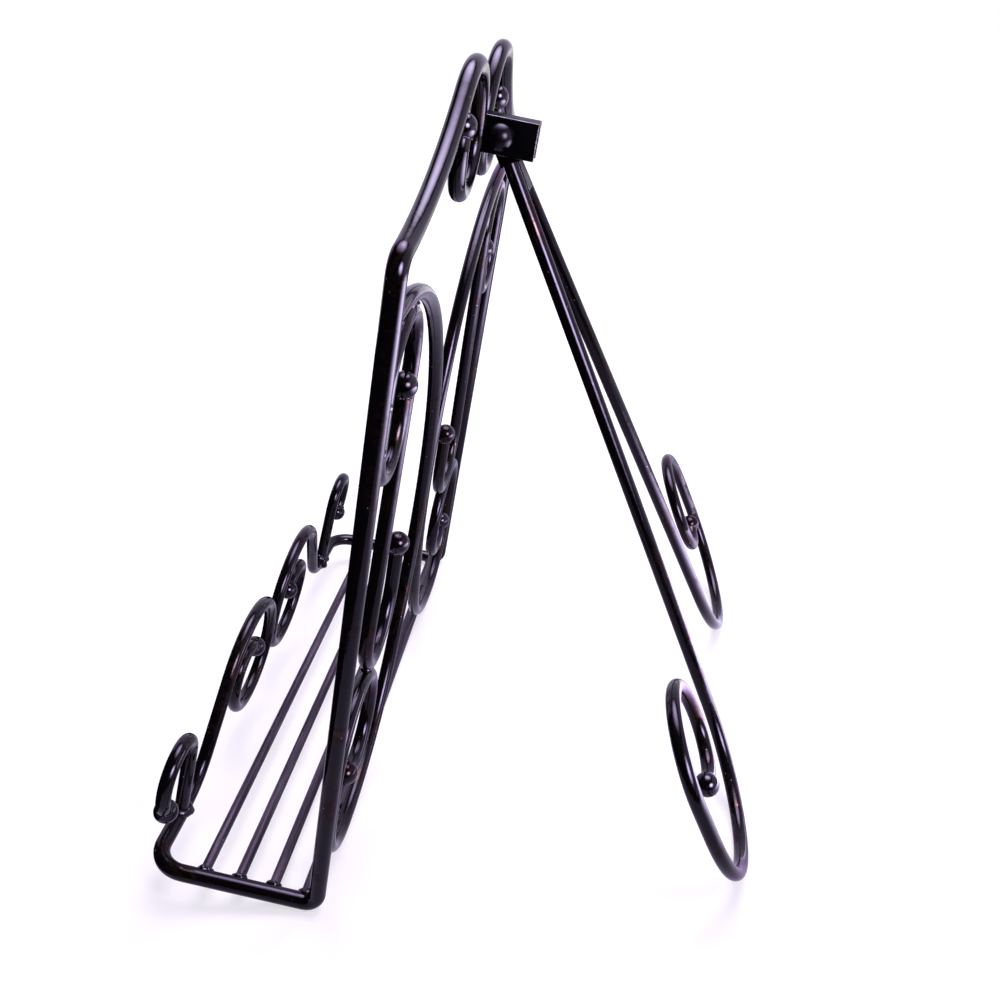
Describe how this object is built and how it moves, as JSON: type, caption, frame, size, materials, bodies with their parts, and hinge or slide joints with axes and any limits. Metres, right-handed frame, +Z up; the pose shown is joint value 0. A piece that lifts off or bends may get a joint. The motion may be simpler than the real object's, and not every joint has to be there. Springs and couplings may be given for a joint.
{
  "type": "cookbook stand",
  "caption": "Folding cookbook stand of bent steel rod: scrollwork back frame, barred shelf with a scrolled lip, and hinged rear legs with scroll feet.",
  "frame": {"origin": "on the table, under the middle of the back frame's foot", "axes": "+Z up, +X to the right of someone facing the book, -Y towards that reader, +Y towards the legs"},
  "size_m": [0.2644, 0.2294, 0.29],
  "materials": {
    "rod_finish": "dark antique bronze lacquer on steel rod, semi-gloss, with faint brown rubs and pits",
    "ball_finish": "dark antique bronze lacquer on steel balls, semi-gloss",
    "hinge_finish": "near-black lacquer on sheet and bar steel, semi-gloss"
  },
  "bodies": {
    "stand": {"left_side_rod": "rod_finish", "right_side_rod": "rod_finish", "bottom_rail": "rod_finish", "left_long_scroll": "rod_finish", "right_long_scroll": "rod_finish", "left_s_scroll": "rod_finish", "right_s_scroll": "rod_finish", "rear_shelf_bar": "rod_finish", "middle_shelf_bar": "rod_finish", "front_shelf_bar": "rod_finish", "left_lip_scroll": "rod_finish", "right_lip_scroll": "rod_finish", "left_end_stop": "rod_finish", "right_end_stop": "rod_finish", "hinge_bracket": "hinge_finish", "hinge_pin": "hinge_finish", "left_crest_ball": "ball_finish", "right_crest_ball": "ball_finish", "left_eye_ball": "ball_finish", "right_eye_ball": "ball_finish", "left_upper_s_ball": "ball_finish", "right_upper_s_ball": "ball_finish", "left_lower_s_ball": "ball_finish", "right_lower_s_ball": "ball_finish", "left_lip_ball": "ball_finish", "right_lip_ball": "ball_finish", "left_stop_ball": "ball_finish", "right_stop_ball": "ball_finish"},
    "legs": {"leg_tongue": "hinge_finish", "left_leg": "rod_finish", "right_leg": "rod_finish", "left_foot_ball": "ball_finish", "right_foot_ball": "ball_finish"}
  },
  "joints": [
    {"name": "leg_fold", "type": "hinge", "parent": "stand", "child": "legs", "pos_m": [0, 0.06596, 0.25956], "axis": [-1, 0, 0], "range_deg": [0, 32.7]}
  ]
}
